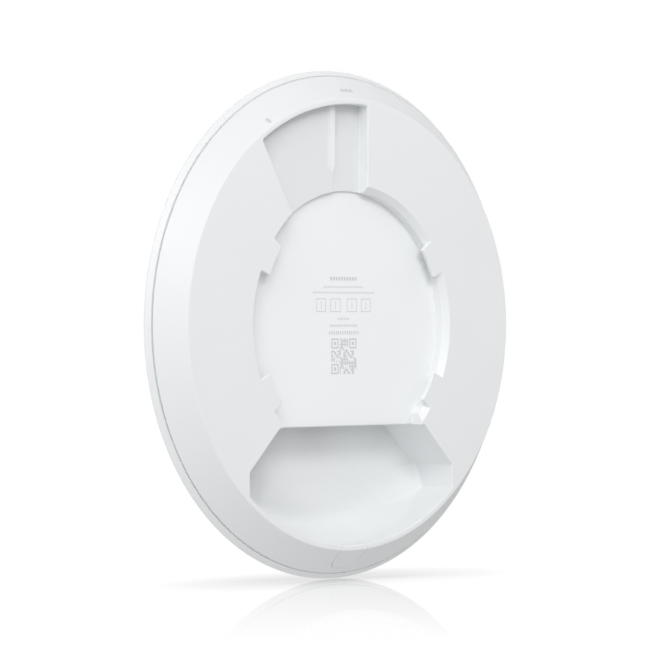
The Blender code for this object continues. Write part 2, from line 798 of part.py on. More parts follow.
def rj45_contacts():
    """Eight gold fingers on one bar at the back of the plug's cavity."""
    roof = JACK_DEPTH + JACK_SHEET + JACK_SLACK + PLUG_ROOF + GAP
    back = JACK_MOUTH + PLUG_LENGTH - GAP
    bar_half = CONTACT_COUNT * CONTACT_PITCH / 2 + CONTACT_WIDTH
    bar_low = (-bar_half, back - CONTACT_BAR, roof)
    bar_high = (bar_half, back, roof + 2 * CONTACT_WIDTH)
    contacts = box_between("rj45_contacts", bar_low, bar_high, GOLD)
    for i in range(CONTACT_COUNT):
        x = (i - (CONTACT_COUNT - 1) / 2) * CONTACT_PITCH
        half = CONTACT_WIDTH / 2
        low = (x - half, back - CONTACT_LENGTH, roof + half)
        high = (x + half, back - CONTACT_BAR / 2, roof + half + CONTACT_WIDTH)
        join(contacts, box_between(f"contact_{i + 1}", low, high))


def reset_switch():
    """Switch body on the board's edge, and the plunger that reaches into the pocket's wall."""
    front = BOARD_CHORD + GAP
    back = front + RESET_BODY_LENGTH
    low = (RESET_X - RESET_BODY_HALF, front, BOARD_FRONT + GAP)
    high = (RESET_X + RESET_BODY_HALF, back, RESET_DEPTH + 2 * RESET_PLUNGER)
    body = box_between("reset_switch_body", low, high, CHIP_BLACK)
    bore_ends = (front - WALL, front + RESET_PLUNGER_BACK + 3 * GAP)
    bore = RESET_PLUNGER + GAP
    cut(body, upright_pin("reset_bore", bore, RESET_X, RESET_DEPTH, *bore_ends))
    pin_ends = (POCKET_TOP + RESET_TIP_INSET, front + RESET_PLUNGER_BACK)
    upright_pin("reset_button", RESET_PLUNGER, RESET_X, RESET_DEPTH, *pin_ends, CHIP_BLACK)


def build():
    rear_cover()
    cable_exit_cover()
    front_cover()
    centre_cap()
    led_ring_lens()
    light_guide()
    heat_sink_plate()
    main_board()
    for number, angle in enumerate(SCREW_ANGLES, 1):
        board_screw(number, angle)
    chips()
    shield_can("shield_can_5ghz", (22, 18, 2.4), (-29, 20))
    shield_can("shield_can_24ghz", (20, 16, 2.4), (-33, -6))
    power_parts()
    antenna("antenna_24ghz_1", 70, 22)
    antenna("antenna_24ghz_2", 165, 22)
    antenna("antenna_5ghz_1", 110, 14)
    antenna("antenna_5ghz_2", 15, 14)
    status_leds()
    rj45_shield()
    rj45_insert()
    rj45_contacts()
    reset_switch()


build()
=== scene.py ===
"""A ceiling access point standing on its rim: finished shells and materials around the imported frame.

Shapes are drawn in the plan of the mounting side, X across and Z up, with depths
measured from the flat back towards the dome. The frame's own boxes give the main sizes.
"""

import json
import math

import bmesh
import bpy
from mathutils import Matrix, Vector

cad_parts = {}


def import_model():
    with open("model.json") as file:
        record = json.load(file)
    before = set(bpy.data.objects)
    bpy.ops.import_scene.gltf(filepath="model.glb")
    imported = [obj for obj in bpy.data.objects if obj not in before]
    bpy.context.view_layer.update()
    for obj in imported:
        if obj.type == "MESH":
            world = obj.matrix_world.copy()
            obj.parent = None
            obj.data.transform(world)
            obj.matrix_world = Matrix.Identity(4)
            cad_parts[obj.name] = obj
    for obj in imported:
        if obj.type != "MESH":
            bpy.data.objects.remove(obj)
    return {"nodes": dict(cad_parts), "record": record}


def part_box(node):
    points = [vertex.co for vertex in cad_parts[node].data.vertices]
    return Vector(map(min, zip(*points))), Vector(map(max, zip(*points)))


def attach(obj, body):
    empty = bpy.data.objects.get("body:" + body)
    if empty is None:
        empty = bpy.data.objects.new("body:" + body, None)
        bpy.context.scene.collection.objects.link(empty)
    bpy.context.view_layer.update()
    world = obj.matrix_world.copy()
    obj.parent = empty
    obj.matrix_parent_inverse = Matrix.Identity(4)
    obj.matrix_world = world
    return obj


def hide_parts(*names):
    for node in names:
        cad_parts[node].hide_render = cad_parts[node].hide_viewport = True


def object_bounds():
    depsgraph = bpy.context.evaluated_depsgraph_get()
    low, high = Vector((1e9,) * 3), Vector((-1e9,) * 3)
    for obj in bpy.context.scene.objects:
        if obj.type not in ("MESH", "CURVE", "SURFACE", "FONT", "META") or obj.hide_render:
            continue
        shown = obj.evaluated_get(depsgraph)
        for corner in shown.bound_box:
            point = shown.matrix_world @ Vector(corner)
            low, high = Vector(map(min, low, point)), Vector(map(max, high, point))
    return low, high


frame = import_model()
CAD_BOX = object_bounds()

MM = 0.001
HOUSING = "housing"
EXIT_BODY = "cable_exit_cover"

# Main sizes, from the frame
BACK_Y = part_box("rear_cover")[0].y
SEAT_DEPTH = -BACK_Y
SEAM_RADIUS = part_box("rear_cover")[1].x
RIM_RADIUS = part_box("front_cover")[1].x
SKIRT_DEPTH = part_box("front_cover")[0].y - BACK_Y
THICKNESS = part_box("centre_cap")[1].y - BACK_Y
LENS_FLANGE_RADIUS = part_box("led_ring_lens")[1].x
LENS_FLANGE_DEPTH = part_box("led_ring_lens")[0].y - BACK_Y
POCKET_FLOOR = 1.3 * MM
POCKET_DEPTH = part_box("rear_cover")[1].y - BACK_Y - POCKET_FLOOR
EXIT_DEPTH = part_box("cable_exit_cover")[1].y - BACK_Y

# Shared by several pieces. OVER and SKIM are how far a cutter stands out of what it cuts
WALL = 2.0 * MM
GAP = 0.3 * MM
LIP = 0.45 * MM
OVER = 3.0 * MM
SKIM = 0.02 * MM
TURN_STEPS = 288
ROUND_STEPS = 32
CORNER_STEPS = 5
SHARP_ANGLE = 32

# Covers
RIM_DEPTH = 10.35 * MM
DOME_POWER = 3
BACK_RADIUS = 75.8 * MM
SEAM_DEPTH = 8.63 * MM
SEAM_GAP = 0.15 * MM
SKIRT_INNER = 78.4 * MM
SKIRT_OUTER = 79.6 * MM
SKIRT_NOTCH = 0.25 * MM
BACK_EDGE_ROUND = 0.7 * MM
SEAM_EDGE_ROUND = 0.25 * MM
RIM_ROUND = 0.2 * MM
INNER_EDGE_ROUND = 0.15 * MM

# Recess with its bayonet tabs
SEAT_FLAT_RADIUS = 42.0 * MM
SEAT_DISH = 0.15 * MM
RECESS_RADIUS = 45.0 * MM
RECESS_CHAMFER = 2.0 * MM
CHAMFER_FOOT_ROUND = 0.35 * MM
RECESS_MOUTH_HALF = 33.2 * MM
TAB_ANGLES = (30, 150, 210, 330)
TAB_WIDTH_ANGLE = 15
TAB_INNER_RADIUS = 42.3 * MM
TAB_THICKNESS = 1.4 * MM
TAB_LIP = 0.35 * MM
TAB_CORNER = 0.6 * MM
TAB_ARC_STEPS = 5
TAB_FILLET_STEPS = 2

# Lock channel
CHANNEL_RADIUS = 74.05 * MM
CHANNEL_RIGHT = 6.5 * MM
CHANNEL_TURN = 30
CHANNEL_DEPTH = 3.5 * MM
CHANNEL_CORNER = 0.8 * MM
CHANNEL_LEAST_CORNER = 0.1 * MM
CHANNEL_OUTER_STEPS = 14
CHANNEL_INNER_STEPS = 8
SLOT_DEPTH = 4.2 * MM
RIB_CREST_DEPTH = 2.57 * MM
RIB_CREST_WIDTH = 1.1 * MM
RIB_RAMP_WIDTH = 1.9 * MM
RIB_START = 53.3 * MM
RIB_TAPER = 2.3 * MM
RIB_TOE_SINK = 0.01 * MM

# Cable pocket
POCKET_TOP = -34.15 * MM
POCKET_TOP_HALF = 34.4 * MM
POCKET_SIDE = 48.2 * MM
POCKET_SHOULDER = -48.3 * MM
POCKET_WALL = 1.8 * MM
POCKET_CORNER = 0.9 * MM
POCKET_LEAST_CORNER = 0.15 * MM
WALL_FILLET = 0.5 * MM
RIM_FILLET = 8.0 * MM
POCKET_ARC_STEPS = 36
POCKET_RIM_POINTS = POCKET_ARC_STEPS + 1 + 2 * CORNER_STEPS
RIM_FILLET_RUN = 9
DOME_CLEARANCE = 0.5 * MM
FLOOR_BLEND = 1.0 * MM
FLOOR_RING_SCALES = (0.93, 0.85, 0.75, 0.6, 0.45, 0.3, 0.15)

# Cable exit
EXIT_HALF = 6.25 * MM
EXIT_GAP = 0.12 * MM
EXIT_CORNER = 3.4 * MM
EXIT_FRAME = 2.2 * MM
EXIT_FRAME_INSET = 0.05 * MM
EXIT_SKIN = 1.8 * MM

# Light ring
LENS_INNER = 24.9 * MM
LENS_OUTER = 27.0 * MM
FLANGE_WIDTH = LENS_FLANGE_RADIUS - LENS_OUTER
FLANGE_THICKNESS = 1.0 * MM
LENS_EDGE = 0.1 * MM
LENS_EDGE_STEPS = 3

# Openings in the pocket's upper wall, and screw bosses
PORT_LOW, PORT_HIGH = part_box("rj45_shield")
RESET_LOW, RESET_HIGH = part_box("reset_button")
PORT_CORNER = 0.6 * MM
BOSS_COUNT = 4
BOSS_RADIUS = 3.4 * MM
BOSS_HOLE_RADIUS = 1.35 * MM
BOSS_END = 7.3 * MM

BEVEL_SLOPE = (SEAM_RADIUS - BACK_RADIUS) / SEAM_DEPTH
BEVEL_WALL = WALL * math.hypot(1, BEVEL_SLOPE)
CHAMFER_RADIUS = RECESS_RADIUS + RECESS_CHAMFER


# ---- points and outlines ----


def at(x, z, depth):
    """World place of a point of the plan at a depth below the flat back."""
    return (x, depth + BACK_Y, z)


def polar(radius, degrees):
    angle = math.radians(degrees)
    return radius * math.cos(angle), radius * math.sin(angle)


def circle(radius, count):
    return [polar(radius, 360 * i / count) for i in range(count)]


def arc(radius, start, end, count, corner=0.0):
    """Corners (a, b, radius) along an arc, rounded at its two ends only."""
    corners = [(*polar(radius, start + (end - start) * i / count), 0) for i in range(count + 1)]
    for tip in (0, -1):
        corners[tip] = (*corners[tip][:2], corner)
    return corners


def angle_at(radius, x, sign=1):
    return math.degrees(math.atan2(sign * math.sqrt(radius**2 - x**2), x))


def dome_depth(radius, inset=0.0):
    fall = (THICKNESS - RIM_DEPTH) * (radius / RIM_RADIUS) ** DOME_POWER
    return THICKNESS - fall - inset


def dome_arc(start, end, inset=0.0, count=24):
    radii = [start + (end - start) * i / count for i in range(count + 1)]
    return [(radius, dome_depth(radius, inset), 0) for radius in radii]


def bevel_radius(depth, inset=0.0):
    return BACK_RADIUS - inset + BEVEL_SLOPE * depth


def rounded(corners, closed=True, steps=CORNER_STEPS):
    """Points of an outline whose corners, each (a, b, radius), are turned into arcs."""
    points = []
    last = len(corners) - 1
    for i, (a, b, radius) in enumerate(corners):
        here = Vector((a, b))
        if not radius or (not closed and i in (0, last)):
            points.append((a, b))
            continue
        before = (Vector(corners[i - 1][:2]) - here).normalized()
        after = (Vector(corners[(i + 1) % len(corners)][:2]) - here).normalized()
        half = before.angle(after) / 2
        centre = here + (before + after).normalized() * radius / math.sin(half)
        start = here + before * radius / math.tan(half) - centre
        end = here + after * radius / math.tan(half) - centre
        turn = start.angle_signed(end)
        for step in range(steps + 1):
            angle = math.atan2(start.y, start.x) - turn * step / steps
            points.append((centre.x + radius * math.cos(angle), centre.y + radius * math.sin(angle)))
    return points


def lip_rings(radius):
    """(growth, depth) pairs down a rounded lip, from the open side into a straight wall."""
    rings = [(radius, -OVER)]
    for step in range(CORNER_STEPS + 1):
        angle = math.pi / 2 * step / CORNER_STEPS
        rings.append((radius * (1 - math.sin(angle)), radius * (1 - math.cos(angle))))
    return rings


def fillet_rings(radius, floor, steps):
    """(growth, depth) pairs round a floor's fillet, from a straight wall to the floor."""
    rings = []
    for step in range(steps + 1):
        angle = math.pi / 2 * step / steps
        rings.append((-radius * (1 - math.cos(angle)), floor - radius * (1 - math.sin(angle))))
    return rings


# ---- meshes ----


def add_piece(name, bm):
    bmesh.ops.recalc_face_normals(bm, faces=bm.faces)
    mesh = bpy.data.meshes.new(name)
    bm.to_mesh(mesh)
    bm.free()
    obj = bpy.data.objects.new(name, mesh)
    bpy.context.scene.collection.objects.link(obj)
    return obj


def skin(bm, first, second):
    """Faces between two rings of vertices. A ring of one vertex is a pole."""
    count = max(len(first), len(second))
    for i in range(count):
        j = (i + 1) % count
        near = [first[i % len(first)], first[j % len(first)]]
        far = [second[j % len(second)], second[i % len(second)]]
        bm.faces.new(list(dict.fromkeys(near + far)))


def turned(name, profile, closed=True):
    """A solid of revolution from (radius, depth) points. An open profile ends on the axis."""
    bm = bmesh.new()
    rings = []
    for radius, depth in profile:
        if radius < MM / 100:
            rings.append([bm.verts.new(at(0, 0, depth))])
        else:
            rings.append([bm.verts.new(at(*place, depth)) for place in circle(radius, TURN_STEPS)])
    for first, second in zip(rings, rings[1:] + rings[:1] if closed else rings[1:]):
        skin(bm, first, second)
    return add_piece(name, bm)


def lofted(name, rings):
    """A solid through rings of (x, z, depth) points, all of one count, with flat ends."""
    bm = bmesh.new()
    loops = [[bm.verts.new(at(*point)) for point in ring] for ring in rings]
    for first, second in zip(loops, loops[1:]):
        skin(bm, first, second)
    bm.faces.new(loops[0])
    bm.faces.new(loops[-1])
    return add_piece(name, bm)


def extruded(name, outline_at, rings):
    """A solid whose outline grows and shrinks with depth, as (growth, depth) pairs say."""
    return lofted(name, [[(x, z, depth) for x, z in outline_at(grow)] for grow, depth in rings])


def bar(name, outline, z_start, z_end):
    """A solid with an (x, depth) outline that runs along Z."""
    ends = [[(x, z, depth) for x, depth in outline] for z in (z_start, z_end)]
    return lofted(name, ends)


def block(name, low, high):
    """A box between two (x, z, depth) corners."""
    outline = [(low[0], low[2]), (high[0], low[2]), (high[0], high[2]), (low[0], high[2])]
    return bar(name, outline, low[1], high[1])


def apply_modifiers(obj):
    graph = bpy.context.evaluated_depsgraph_get()
    mesh = bpy.data.meshes.new_from_object(obj.evaluated_get(graph))
    obj.modifiers.clear()
    obj.data = mesh


def combine(obj, others, operation):
    """Joins, cuts or intersects a piece with helpers, which are then removed."""
    for other in others:
        modifier = obj.modifiers.new(other.name, "BOOLEAN")
        modifier.operation = operation
        modifier.solver = "EXACT"
        modifier.object = other
    apply_modifiers(obj)
    for other in others:
        bpy.data.objects.remove(other, do_unlink=True)
    return obj


def shade_round(obj):
    """Smooth shading up to an angle, with the large faces kept flat."""
    obj.data.shade_smooth()
    obj.data.set_sharp_from_angle(angle=math.radians(SHARP_ANGLE))
    weighted = obj.modifiers.new("flat_faces", "WEIGHTED_NORMAL")
    weighted.keep_sharp = True
    return obj


def settle(obj, material, body, slot, *nodes):
    """Gives a piece its material and its body, and hides the CAD nodes it stands for. The slot is not
    used.
    """
    obj.data.materials.clear()
    obj.data.materials.append(material)
    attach(obj, body)
    if nodes:
        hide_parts(*nodes)


# ---- materials ----

NOISE_SPAN = (0.3, 0.7)
TONE_DRIFT = 22.0
SHEEN_DRIFT = 60.0
GRAIN_HEIGHT = 0.02 * MM
BRUSH_HEIGHT = 0.01 * MM
BRUSH_SCALE = (300.0, 300.0, 4000.0)
SHELL_TONES = ((0.845, 0.862, 0.87), (0.86, 0.877, 0.885))
LENS_TONES = ((0.74, 0.8, 0.86), (0.82, 0.87, 0.92))
LENS_SCATTER = (1.2 * MM, 1.3 * MM, 1.5 * MM)
TRACK_SCALE = 220.0
TRACK_SPACE = 0.06
TRACK_HEIGHT = 0.03 * MM

# Painted shade beside walls, on faces that look straight back: side leaned to, reach, span of openness,
# and the tones at its two ends. The open end leaves the seat lighter, the channel darker and the pocket
# floor a little lighter
SEAT_SHADE = ((-1.3, 0.0, 0.8), 12 * MM, (0.34, 0.66), (0.9, 1.085))
CHANNEL_SHADE = ((-1.0, 0.0, 1.0), 12 * MM, (0.34, 0.64), (0.72, 0.944))
RIB_SHADE = ((-1.0, 0.0, 1.0), 12 * MM, (0.34, 0.64), (0.76, 1.0))
POCKET_SHADE = ((-2.0, 0.0, 0.0), 25 * MM, (0.33, 0.6), (0.8, 1.03))
SHADE_FACING = (-0.8, -0.99)
SEAT_ZONE_MARGIN = 0.1 * MM
CHANNEL_ZONE_MARGIN = 0.45 * MM
RIB_ZONE_LIFT = 0.1 * MM
POCKET_ZONE_MARGIN = 6 * MM


def node_material(name):
    material = bpy.data.materials.new(name)
    material.use_nodes = True
    tree = material.node_tree
    return material, tree, tree.nodes["Principled BSDF"]


def object_place(tree):
    return tree.nodes.new("ShaderNodeTexCoord").outputs["Object"]


def vector_math(tree, operation, value, other=None):
    """A vector operation on a linked value and, where it takes one, a fixed second vector."""
    node = tree.nodes.new("ShaderNodeVectorMath")
    node.operation = operation
    tree.links.new(value, node.inputs[0])
    if other is not None:
        node.inputs[1].default_value = other
    return node


def number_math(tree, operation, value, *others):
    """An operation on a linked value and further linked values or fixed numbers."""
    node = tree.nodes.new("ShaderNodeMath")
    node.operation = operation
    tree.links.new(value, node.inputs[0])
    for socket, other in zip(node.inputs[1:], others):
        if isinstance(other, (int, float)):
            socket.default_value = other
        else:
            tree.links.new(other, socket)
    return node.outputs["Value"]


def mapped(tree, value, span, result, easing="LINEAR"):
    """A value carried from one span onto another."""
    node = tree.nodes.new("ShaderNodeMapRange")
    node.interpolation_type = easing
    for name, number in zip(("From Min", "From Max", "To Min", "To Max"), (*span, *result)):
        node.inputs[name].default_value = number
    tree.links.new(value, node.inputs["Value"])
    return node.outputs["Result"]


def noise(tree, scale, detail=4.0):
    texture = tree.nodes.new("ShaderNodeTexNoise")
    texture.inputs["Scale"].default_value = scale
    texture.inputs["Detail"].default_value = detail
    tree.links.new(object_place(tree), texture.inputs["Vector"])
    return texture.outputs["Fac"]


def ramp(tree, value, low, high):
    """Colours or greys between low and high as a noise crosses its middle span."""
    mix = tree.nodes.new("ShaderNodeValToRGB")
    for stop, position, colour in zip(mix.color_ramp.elements, NOISE_SPAN, (low, high)):
        stop.position = position
        stop.color = (*colour, 1.0) if isinstance(colour, tuple) else (colour, colour, colour, 1.0)
    tree.links.new(value, mix.inputs["Fac"])
    return mix.outputs["Color"]


def bumped(tree, value, distance, strength):
    """A normal from a height."""
    bump = tree.nodes.new("ShaderNodeBump")
    bump.inputs["Distance"].default_value = distance
    bump.inputs["Strength"].default_value = strength
    tree.links.new(value, bump.inputs["Height"])
    return bump.outputs["Normal"]


def plastic(name, low, high, roughness=(0.42, 0.5), grain=900.0):
    """Moulded plastic with a fine grain and a faint drift of tone."""
    material, tree, shader = node_material(name)
    tree.links.new(ramp(tree, noise(tree, TONE_DRIFT), low, high), shader.inputs["Base Color"])
    tree.links.new(ramp(tree, noise(tree, SHEEN_DRIFT), *roughness), shader.inputs["Roughness"])
    normal = bumped(tree, noise(tree, grain, detail=6.0), GRAIN_HEIGHT, 0.35)
    tree.links.new(normal, shader.inputs["Normal"])
    return material


def metal(name, low, high, roughness=(0.25, 0.4)):
    """Sheet metal with a fine brushed grain along two of its axes."""
    material, tree, shader = node_material(name)
    shader.inputs["Metallic"].default_value = 1.0
    stretched = vector_math(tree, "MULTIPLY", object_place(tree), BRUSH_SCALE)
    brushed = tree.nodes.new("ShaderNodeTexNoise")
    brushed.inputs["Scale"].default_value = 1.0
    tree.links.new(stretched.outputs["Vector"], brushed.inputs["Vector"])
    tree.links.new(ramp(tree, noise(tree, 80.0), low, high), shader.inputs["Base Color"])
    tree.links.new(ramp(tree, brushed.outputs["Fac"], *roughness), shader.inputs["Roughness"])
    normal = bumped(tree, brushed.outputs["Fac"], BRUSH_HEIGHT, 0.3)
    tree.links.new(normal, shader.inputs["Normal"])
    return material


def lens_material():
    """Cloudy plastic that lets light scatter inside it."""
    material, tree, shader = node_material("diffusing_lens")
    tree.links.new(ramp(tree, noise(tree, 90.0), *LENS_TONES), shader.inputs["Base Color"])
    tree.links.new(ramp(tree, noise(tree, 300.0), 0.2, 0.3), shader.inputs["Roughness"])
    shader.inputs["Subsurface Weight"].default_value = 0.35
    shader.inputs["Subsurface Radius"].default_value = LENS_SCATTER
    tree.links.new(bumped(tree, noise(tree, 2000.0), BRUSH_HEIGHT, 0.3), shader.inputs["Normal"])
    return material


def axis_of(tree, vector, axis):
    apart = tree.nodes.new("ShaderNodeSeparateXYZ")
    tree.links.new(vector, apart.inputs["Vector"])
    return apart.outputs[axis]


def zone_mask(tree, level, margin, start_radius, end_radius, low_z):
    """1 on the shell's surface near one level and between two radii, above a height, else 0."""
    place = object_place(tree)
    plan = vector_math(tree, "MULTIPLY", place, (1, 0, 1))
    radius = vector_math(tree, "LENGTH", plan.outputs["Vector"]).outputs["Value"]
    middle, half = (start_radius + end_radius) / 2, (end_radius - start_radius) / 2
    above = number_math(tree, "GREATER_THAN", axis_of(tree, place, "Z"), low_z)
    level_with = number_math(tree, "COMPARE", axis_of(tree, place, "Y"), level, margin)
    between = number_math(tree, "COMPARE", radius, middle, half)
    return number_math(tree, "MULTIPLY", number_math(tree, "MULTIPLY", above, level_with), between)


def wall_shade(tree, lean_to, reach, openness_span, shade_span):
    """Painted shade factor on faces that look straight back, where a wall stands on the side leaned to."""
    normal = tree.nodes.new("ShaderNodeNewGeometry").outputs["Normal"]
    lean = vector_math(tree, "ADD", normal, lean_to)
    unit = vector_math(tree, "NORMALIZE", lean.outputs["Vector"])
    openness = tree.nodes.new("ShaderNodeAmbientOcclusion")
    openness.samples = 8
    openness.inputs["Distance"].default_value = reach
    tree.links.new(unit.outputs["Vector"], openness.inputs["Normal"])
    shade = mapped(tree, openness.outputs["AO"], openness_span, shade_span, "SMOOTHSTEP")
    facing = mapped(tree, axis_of(tree, normal, "Y"), SHADE_FACING, (0.0, 1.0), "SMOOTHSTEP")
    mix = tree.nodes.new("ShaderNodeMix")
    mix.inputs["A"].default_value = 1.0
    tree.links.new(facing, mix.inputs["Factor"])
    tree.links.new(shade, mix.inputs["B"])
    return mix.outputs["Result"]


def shell_material():
    """The white moulding, with soft shade painted beside the walls of its seat, channel and pocket, and,
    where open, its seat lighter, its channel darker and its pocket floor a little lighter.
    """
    material = plastic("white_shell", *SHELL_TONES)
    tree = material.node_tree
    shader = tree.nodes["Principled BSDF"]
    plain = shader.inputs["Base Color"].links[0].from_socket
    channel_level = (CHANNEL_DEPTH + SLOT_DEPTH) / 2 + BACK_Y
    rib_level = (RIB_CREST_DEPTH + CHANNEL_DEPTH) / 2 - RIB_ZONE_LIFT + BACK_Y
    pocket_level = POCKET_DEPTH + BACK_Y
    channel_bounds = (CHANNEL_ZONE_MARGIN, RECESS_RADIUS, CHANNEL_RADIUS, 0.0)
    zones = (
        (SEAT_SHADE, (0.0, SEAT_DISH + SEAT_ZONE_MARGIN, 0.0, RECESS_RADIUS, -RIM_RADIUS)),
        (CHANNEL_SHADE, (channel_level, *channel_bounds)),
        (RIB_SHADE, (rib_level, *channel_bounds)),
        (POCKET_SHADE, (pocket_level, POCKET_ZONE_MARGIN, 0.0, CHANNEL_RADIUS, -RIM_RADIUS)),
    )
    # Each zone paints its shade beside the walls, and its lighter or darker tone, into the base colour
    colour = plain
    for shade, zone in zones:
        shaded = vector_math(tree, "SCALE", plain)
        tree.links.new(wall_shade(tree, *shade), shaded.inputs["Scale"])
        mix = tree.nodes.new("ShaderNodeMix")
        mix.data_type = "RGBA"
        tree.links.new(zone_mask(tree, *zone), mix.inputs["Factor"])
        tree.links.new(colour, mix.inputs["A"])
        tree.links.new(shaded.outputs["Vector"], mix.inputs["B"])
        colour = mix.outputs["Result"]
    tree.links.new(colour, shader.inputs["Base Color"])
    return material


def board_material():
    """Green solder mask over a grid of copper tracks."""
    material, tree, shader = node_material("solder_mask")
    bricks = tree.nodes.new("ShaderNodeTexBrick")
    bricks.inputs["Scale"].default_value = TRACK_SCALE
    bricks.inputs["Mortar Size"].default_value = TRACK_SPACE
    bricks.inputs["Color1"].default_value = (0.012, 0.10, 0.045, 1.0)
    bricks.inputs["Color2"].default_value = (0.016, 0.12, 0.055, 1.0)
    bricks.inputs["Mortar"].default_value = (0.03, 0.2, 0.09, 1.0)
    turn = tree.nodes.new("ShaderNodeMapping")
    turn.inputs["Rotation"].default_value = (math.radians(90), 0, 0)
    tree.links.new(object_place(tree), turn.inputs["Vector"])
    tree.links.new(turn.outputs["Vector"], bricks.inputs["Vector"])
    tree.links.new(bricks.outputs["Color"], shader.inputs["Base Color"])
    tree.links.new(ramp(tree, noise(tree, 200.0), 0.3, 0.45), shader.inputs["Roughness"])
    tree.links.new(bumped(tree, bricks.outputs["Fac"], TRACK_HEIGHT, 0.6), shader.inputs["Normal"])
    return material


SHELL = shell_material()
DOME = plastic("white_dome", *SHELL_TONES)
LENS = lens_material()
INK = plastic("grey_print", (0.62, 0.635, 0.64), (0.68, 0.695, 0.7), (0.5, 0.6))
CHIP = plastic("moulding_compound", (0.016, 0.016, 0.018), (0.03, 0.03, 0.032), (0.45, 0.6), 2500.0)
CERAMIC = plastic("fired_ceramic", (0.7, 0.67, 0.6), (0.8, 0.77, 0.7), (0.35, 0.5), 1800.0)
JACK = plastic("white_jack", (0.8, 0.81, 0.815), (0.86, 0.87, 0.875), (0.35, 0.45))
PAD = plastic("thermal_pad", (0.3, 0.37, 0.45), (0.38, 0.45, 0.53), (0.75, 0.9), 1400.0)
FERRITE = plastic("pressed_ferrite", (0.035, 0.035, 0.04), (0.07, 0.07, 0.075), (0.55, 0.75), 1600.0)
LED = plastic("led_resin", (0.8, 0.78, 0.6), (0.9, 0.88, 0.75), (0.15, 0.25), 600.0)
ALUMINIUM = metal("brushed_aluminium", (0.72, 0.73, 0.74), (0.82, 0.83, 0.84))
TIN = metal("tinned_steel", (0.64, 0.64, 0.62), (0.76, 0.76, 0.74), (0.22, 0.36))
STEEL = metal("zinc_plated_steel", (0.5, 0.51, 0.53), (0.64, 0.65, 0.67), (0.25, 0.38))
GOLD = metal("gold_plate", (0.8, 0.56, 0.2), (0.9, 0.68, 0.3), (0.18, 0.28))

SLOT_MATERIALS = {
    "shell": SHELL,
    "lens": LENS,
    "board": board_material(),
    "component": CHIP,
    "ceramic": CERAMIC,
    "jack": JACK,
    "pad": PAD,
    "heat_sink": ALUMINIUM,
    "tin": TIN,
    "screw": STEEL,
    "contact": GOLD,
    "ferrite": FERRITE,
    "led": LED,
}


def dress_cad_nodes():
    """Every CAD node takes the material of its slot in the record."""
    for row in frame["record"]["subparts"]:
        node = frame["nodes"][row["node"]]
        node.data.materials.clear()
        node.data.materials.append(SLOT_MATERIALS[row["material_slot"]])


# ---- rear cover ----


def rear_solid():
    """Flat back, bevelled edge and the hollow behind them, still without its recesses."""
    profile = [
        (0, 0, 0),
        (BACK_RADIUS, 0, BACK_EDGE_ROUND),
        (SEAM_RADIUS, SEAM_DEPTH, SEAM_EDGE_ROUND),
        (SEAM_RADIUS - BEVEL_WALL, SEAM_DEPTH, 0),
        (bevel_radius(WALL) - BEVEL_WALL, WALL, 0),
        (CHAMFER_RADIUS + WALL, WALL, 0),
        (CHAMFER_RADIUS, 2 * WALL, 0),
        (CHAMFER_RADIUS, SEAT_DEPTH + WALL, 0),
        (0, SEAT_DEPTH + WALL, 0),
    ]
    return turned("rear_cover_shell", rounded(profile, closed=False), closed=False)


def channel_outline(grow, inner_radius=SEAT_FLAT_RADIUS):
    """The lock channel. Its left edge is the right edge turned about the centre."""
    edge = CHANNEL_RIGHT + grow
    outer = CHANNEL_RADIUS + grow
    right = angle_at(outer, edge)
    left = angle_at(outer, -edge) + CHANNEL_TURN
    inner_right = angle_at(inner_radius, edge)
    inner_left = angle_at(inner_radius, -edge) + CHANNEL_TURN
    corner = max(CHANNEL_CORNER + grow, CHANNEL_LEAST_CORNER)
    outside = arc(outer, right, left, CHANNEL_OUTER_STEPS, corner)
    inside = arc(inner_radius, inner_left, inner_right, CHANNEL_INNER_STEPS)
    return rounded(outside + inside)


def pocket_outline(grow):
    """The cable pocket, an arc below a trapezoid, grown outwards all round."""
    run = POCKET_SIDE - POCKET_TOP_HALF
    drop = POCKET_TOP - POCKET_SHOULDER
    slant = math.hypot(run, drop)
    normal_x = drop / slant
    normal_z = run / slant
    top_x = POCKET_TOP_HALF + grow * (1 - normal_z) / normal_x
    side = POCKET_SIDE + grow
    shoulder = POCKET_TOP + (grow - (run + grow) * normal_x) / normal_z
    radius = CHANNEL_RADIUS + grow
    start = angle_at(radius, -side, -1)
    corner = max(POCKET_CORNER + grow, POCKET_LEAST_CORNER)
    rim = arc(radius, start, -180 - start, POCKET_ARC_STEPS, corner)
    right = [(side, shoulder, corner), (top_x, POCKET_TOP + grow, corner)]
    left = [(-top_x, POCKET_TOP + grow, corner), (-side, shoulder, corner)]
    return rounded(rim + right + left)


def pocket_floor(x, z, flat, inset):
    """Depth of the pocket's floor: flat, then curving up with the dome towards the rim."""
    dome = dome_depth(math.hypot(x, z), inset)
    blend = max(0.0, 1.0 - abs(flat - dome) / FLOOR_BLEND)
    return min(flat, dome) - blend**2 * FLOOR_BLEND / 4


def pocket_blend(count):
    """Share of the wide rim fillet at each point of the outline: 1 on the arc, 0 on straight walls."""
    shares = []
    for i in range(count):
        from_corner = min(i, POCKET_RIM_POINTS - 1 - i) - CORNER_STEPS
        along = max(0.0, min(1.0, from_corner / RIM_FILLET_RUN))
        shares.append(along * along * (3 - 2 * along))
    return shares


